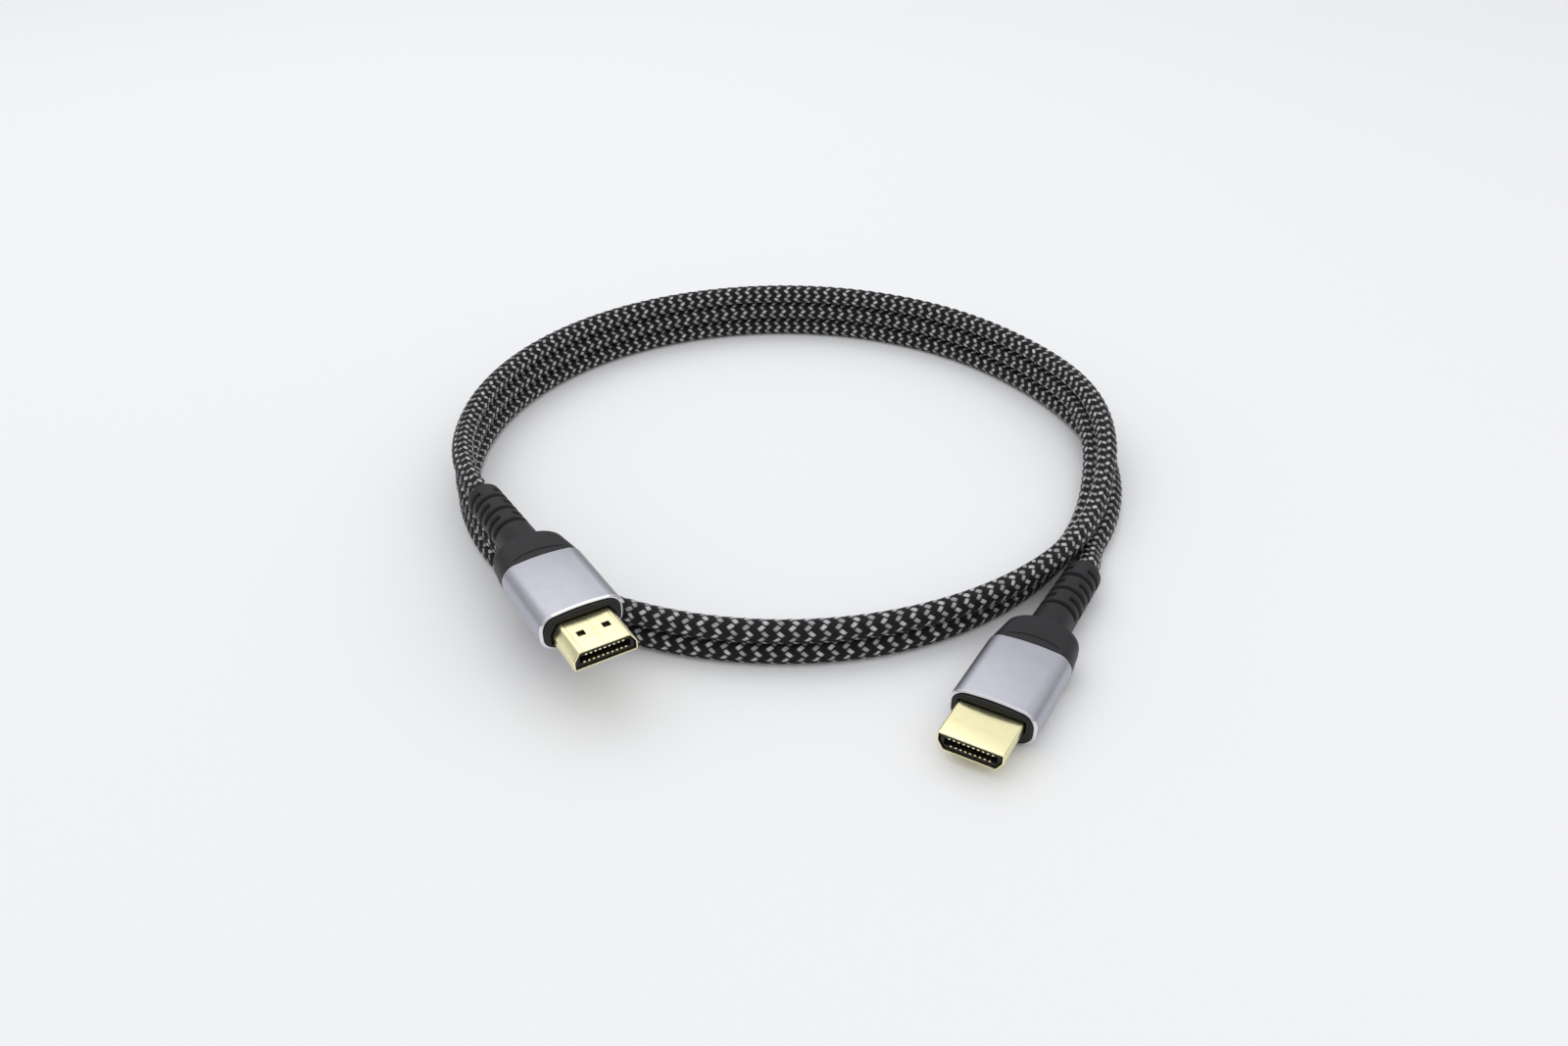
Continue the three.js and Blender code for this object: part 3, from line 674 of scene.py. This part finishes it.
def cap_width(x):
    """Half the cap's width at a station: a taper, a round shoulder and a fillet into the neck."""
    front, rear = SLEEVE_WIDTH / 2 - CAP_INSET, CAP_REAR_WIDTH / 2
    shoulder = CAP_REAR + CAP_SHOULDER_RADIUS
    if x >= shoulder:
        return rear + (front - rear) * (x - shoulder) / (CAP_FRONT - shoulder)
    if x >= CAP_REAR:
        past = min((shoulder - x) / CAP_SHOULDER_RADIUS, 1.0)
        return rear - CAP_SHOULDER_RADIUS * (1 - math.sqrt(1 - past**2))
    if x >= CAP_REAR - NECK_FILLET:
        neck = relief_radius(x)
        drop = (CAP_REAR - x) / NECK_FILLET
        return neck + (rear - CAP_SHOULDER_RADIUS - neck) * (1 - math.sqrt(1 - (1 - drop) ** 2))
    return relief_radius(x)


def cap_section(x, angles):
    """The cap's or the neck's outline at a station: it turns from a flat oval into a circle."""
    width = cap_width(x)
    neck = relief_radius(x)
    top = SLEEVE_HEIGHT / 2 - CAP_INSET
    height = top + (neck - top) * eased(-x, -CAP_FRONT, -CAP_REAR + NECK_FILLET)
    wide, narrow = CAP_REAR_WIDTH / 2, NECK_DIAMETER / 2
    roundness = min(max((wide - width) / (wide - narrow), 0), 1)
    flat_corner = CORNER_SHARE * SLEEVE_HEIGHT - CAP_INSET
    corner = flat_corner + (min(height, width) - flat_corner) * roundness
    crown = SLEEVE_CROWN * (1 - roundness) * 0.999
    corner = min(corner, (height - crown) * 0.999, width * 0.999)
    return polar(rounded_outline(2 * width, 2 * height, corner, crown), angles)


def step_line(x, y):
    """Depth of the curved step line at a place on the cap's top or bottom."""
    centre = CAP_FRONT - STEP_LINE_FROM_SLEEVE + STEP_LINE_RADIUS
    off = abs(math.hypot(x - centre, y) - STEP_LINE_RADIUS + STEP_LINE_WIDTH / 2)
    inside = eased(-abs(y), -STEP_LINE_SPAN / 2, -STEP_LINE_SPAN / 2 + 0.6)
    return STEP_LINE_DEPTH * inside * (1 - eased(off, STEP_LINE_WIDTH / 4, STEP_LINE_WIDTH * 0.75))


def cap_ring(x, angles, inset=0.0, bow=0.0):
    """A ring of the cap. With bow above 0 it leans back at the sides, along the step line."""
    middle = cap_section(x, angles)
    centre = CAP_FRONT - STEP_LINE_FROM_SLEEVE + STEP_LINE_RADIUS
    points = []
    for k, (y, z) in enumerate(middle):
        reach = min(abs(y), STEP_LINE_SPAN / 2)
        lean = STEP_LINE_RADIUS - math.sqrt(STEP_LINE_RADIUS**2 - reach**2)
        here = x + bow * lean
        py, pz = cap_section(here, angles[k : k + 1])[0]
        depth = step_line(here, py) if abs(pz) > 2.5 else 0.0
        shrink = 1 - inset / math.hypot(py, pz)
        points.append((here, float(py * shrink), float(pz * shrink - math.copysign(depth, pz))))
    return points


def relief_ring(x, angles, depth_share, groove):
    """A ring of the slotted end. The groove's bridges stay at full height."""
    radius = relief_radius(x)
    points = []
    for turn in angles:
        y, z = radius * math.cos(turn), radius * math.sin(turn)
        if groove % 2 == 0:
            bridge = eased(-abs(z), -SIDE_BRIDGE_WIDTH / 2 - 0.3, -SIDE_BRIDGE_WIDTH / 2)
        else:
            bridge = eased(-abs(y), -BRIDGE_WIDTH / 2 - 0.3, -BRIDGE_WIDTH / 2)
        scale = 1 - GROOVE_DEPTH * depth_share * (1 - bridge) / radius
        points.append((x, y * scale, z * scale))
    return points


def strain_relief(side):
    skin = Skin(PLUGS[side])
    angles = np.linspace(0, 2 * math.pi, 144, endpoint=False)
    rings = []
    tenon = polar(sleeve_outline(SLEEVE_WALL + SEAT_GAP), angles)
    for x in (CAP_FRONT + CAP_PLUG_DEPTH, CAP_FRONT):
        rings.append(skin.ring(at_station(x, tenon)))
    rings.append(skin.ring(cap_ring(CAP_FRONT, angles, 0.15)))
    rings.append(skin.ring(cap_ring(CAP_FRONT - 0.05, angles, 0.05)))
    rings.append(skin.ring(cap_ring(CAP_FRONT - 0.15, angles)))
    crest = CAP_FRONT - STEP_LINE_FROM_SLEEVE
    for off, bow in ((1.9, 0.1), (1.2, 0.45), (0.6, 0.8), (0.35, 1), (0.2, 1)):
        rings.append(skin.ring(cap_ring(crest + off, angles, 0, bow)))
    for off in (0.02, -0.12, -0.24, -0.38, -0.55):
        rings.append(skin.ring(cap_ring(crest + off, angles, 0, 1)))
    for off, bow in ((-0.9, 0.9), (-1.6, 0.6), (-2.6, 0.3), (-3.8, 0)):
        rings.append(skin.ring(cap_ring(crest + off, angles, 0, bow)))
    shoulder = CAP_REAR + CAP_SHOULDER_RADIUS
    for turn in np.linspace(0, 90, 12):
        x = shoulder - CAP_SHOULDER_RADIUS * math.sin(math.radians(turn))
        rings.append(skin.ring(at_station(x, cap_section(x, angles))))
    for turn in (20, 40, 60, 75, 90):
        x = CAP_REAR - NECK_FILLET * (1 - math.cos(math.radians(turn)))
        rings.append(skin.ring(at_station(x, cap_section(x, angles))))
    half = GROOVE_WIDTH / 2
    for groove in range(RIB_COUNT):
        centre = NECK_REAR - groove * RIB_PITCH
        for off, share in ((0.45, 0), (0.28, 0.05), (0.14, 0.22), (0.03, 0.85), (-0.08, 1)):
            rings.append(skin.ring(relief_ring(centre + half + off, angles, share, groove)))
        for off, share in ((-0.08, 1), (0.03, 0.85), (0.14, 0.22), (0.28, 0.05), (0.45, 0)):
            rings.append(skin.ring(relief_ring(centre - half - off, angles, share, groove)))
    tip_start = RELIEF_END + RELIEF_END_ROUND
    tip_radius = relief_radius(tip_start)
    circle = np.stack([np.cos(angles), np.sin(angles)], 1)
    for turn in np.radians(np.linspace(0, 80, 9)):
        x = tip_start - RELIEF_END_ROUND * math.sin(turn)
        radius = tip_radius - RELIEF_END_ROUND * (1 - math.cos(turn))
        rings.append(skin.ring(at_station(x, radius * circle)))
    for x in (RELIEF_END, RELIEF_END + 0.1, SOCKET_BOTTOM):
        radius = SOCKET_RADIUS if x > RELIEF_END else MOUTH_RADIUS
        rings.append(skin.ring(at_station(x, radius * circle)))
    skin.loft(rings)
    skin.cap(rings[0])
    skin.cap(rings[-1])
    return skin.finish(f"{side}_relief", [MOULDING], 40, f"{side}_strain_relief")


# Camera
camera = bpy.data.objects.new("camera", bpy.data.cameras.new("camera"))
camera.data.sensor_width = SENSOR_WIDTH
camera.data.lens = FOCAL_PIXELS / IMAGE_WIDTH * SENSOR_WIDTH
camera.data.clip_start = CAMERA_CLIP
camera.location = Vector((CAMERA_PLACE + COIL_CENTRE) * MM)
camera.rotation_euler = (math.pi / 2 - CAMERA_PITCH, 0, 0)
bpy.context.scene.collection.objects.link(camera)
bpy.context.scene.camera = camera

# The pieces, then the cord with the connector at its free end
connectors = {
    side: [aluminium_sleeve(side), inner_moulding(side), plug_shell(side), strain_relief(side)]
    for side in PLUGS
}
cable, cable_path, cable_length = braided_cable()

# Nodes that stay as the solids are
for name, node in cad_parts.items():
    if "contact" in name:
        node.data.materials.clear()
        node.data.materials.append(INSULATOR if "block" in name else GOLD)


# Floor, light and background
def stage():
    bpy.ops.mesh.primitive_plane_add(size=8, location=(0, 0, 0))
    floor = bpy.context.object
    floor.name = "floor"
    s = Shader("pale_floor", Roughness=0.9)
    s.shader.inputs["Specular IOR Level"].default_value = 0.1
    s.shader.inputs["Base Color"].default_value = colour(0.9, 0.9, 0.9)
    floor.data.materials.append(s.material)


def area_light(name, place, target, size, power):
    light = bpy.data.lights.new(name, "AREA")
    light.shape = "RECTANGLE"
    light.size, light.size_y = size
    light.energy = power
    thing = bpy.data.objects.new(name, light)
    thing.location = place
    aim = Vector(target) - Vector(place)
    thing.rotation_euler = aim.to_track_quat("-Z", "Y").to_euler()
    bpy.context.scene.collection.objects.link(thing)


stage()


def sky(horizon, zenith):
    """A white surround that brightens from the horizon upwards."""
    world = bpy.data.worlds.new("studio")
    bpy.context.scene.world = world
    world.use_nodes = True
    nodes, links = world.node_tree.nodes, world.node_tree.links
    background = nodes["Background"]
    background.inputs["Color"].default_value = (0.97, 0.98, 1.0, 1.0)
    split = nodes.new("ShaderNodeSeparateXYZ")
    links.new(nodes.new("ShaderNodeTexCoord").outputs["Generated"], split.inputs[0])
    rise = nodes.new("ShaderNodeMapRange")
    rise.inputs["To Min"].default_value = horizon
    rise.inputs["To Max"].default_value = zenith
    links.new(split.outputs["Z"], rise.inputs["Value"])
    links.new(rise.outputs[0], background.inputs["Strength"])


sky(SKY_HORIZON, SKY_ZENITH)
area_light("key", (-0.25, 0.35, 0.75), (0, 0, 0), (0.9, 0.7), KEY_POWER)
area_light("fill", (0.5, -0.45, 0.5), (0, 0, 0), (0.5, 0.5), FILL_POWER)
bpy.context.scene.view_settings.view_transform = "Standard"
